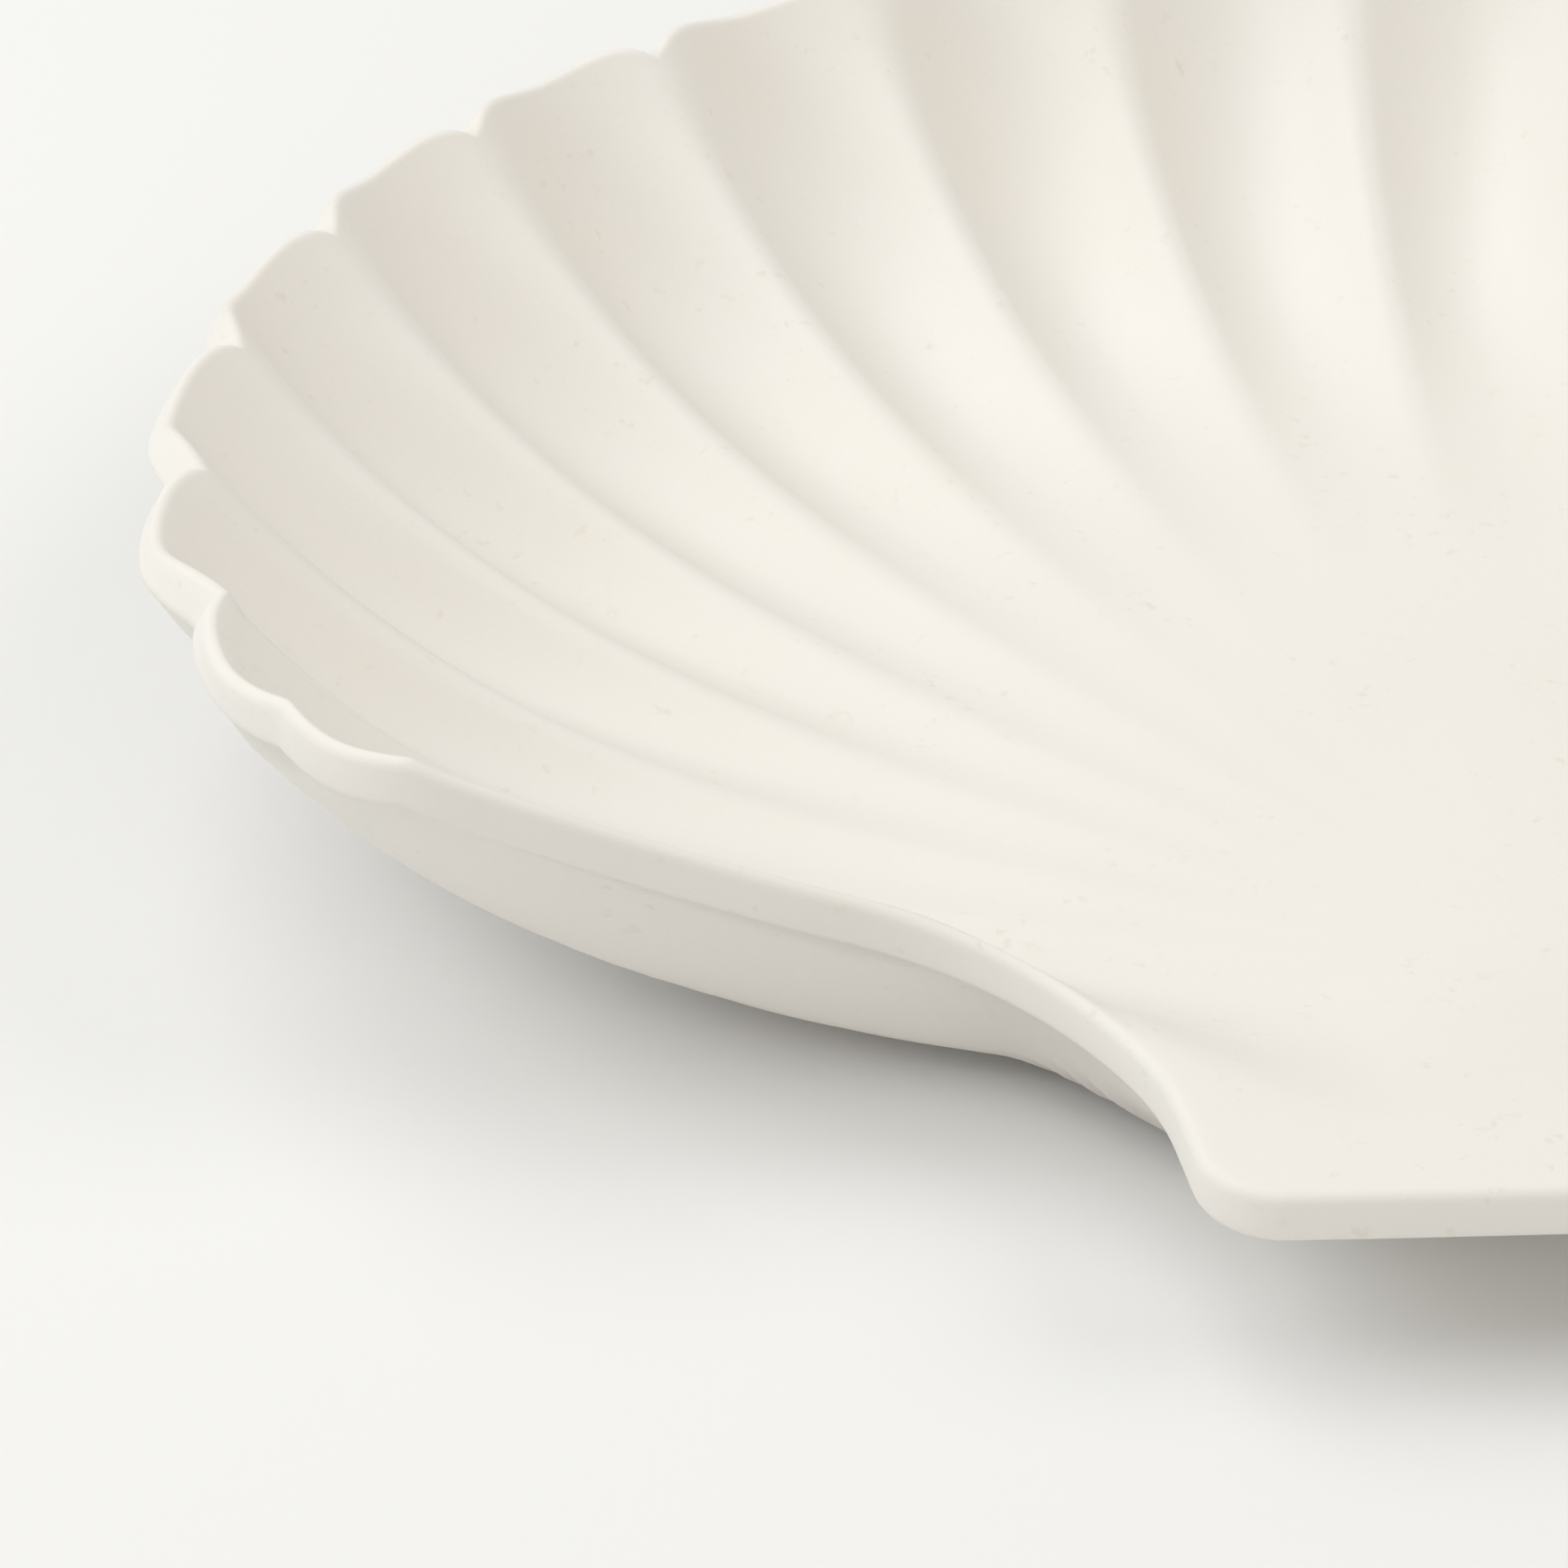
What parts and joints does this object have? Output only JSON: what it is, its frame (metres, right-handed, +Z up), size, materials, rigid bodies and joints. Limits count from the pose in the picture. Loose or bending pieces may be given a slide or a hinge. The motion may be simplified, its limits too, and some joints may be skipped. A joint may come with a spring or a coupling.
{
  "type": "shell shaped platter",
  "caption": "Serving platter shaped as a scallop shell, with a fluted dish, a lobed rim, a plain front edge and a flat tab.",
  "frame": {"origin": "middle of the outline's box in plan, at the flat foot that rests on the table", "axes": "+X to the right along the plain front edge, +Y from the tab towards the back of the shell, +Z up"},
  "size_m": [0.3494, 0.2906, 0.0501],
  "materials": {
    "stoneware": "matte off-white stoneware with fine pale tan specks"
  },
  "bodies": {
    "root": {"platter": "stoneware"}
  },
  "joints": []
}
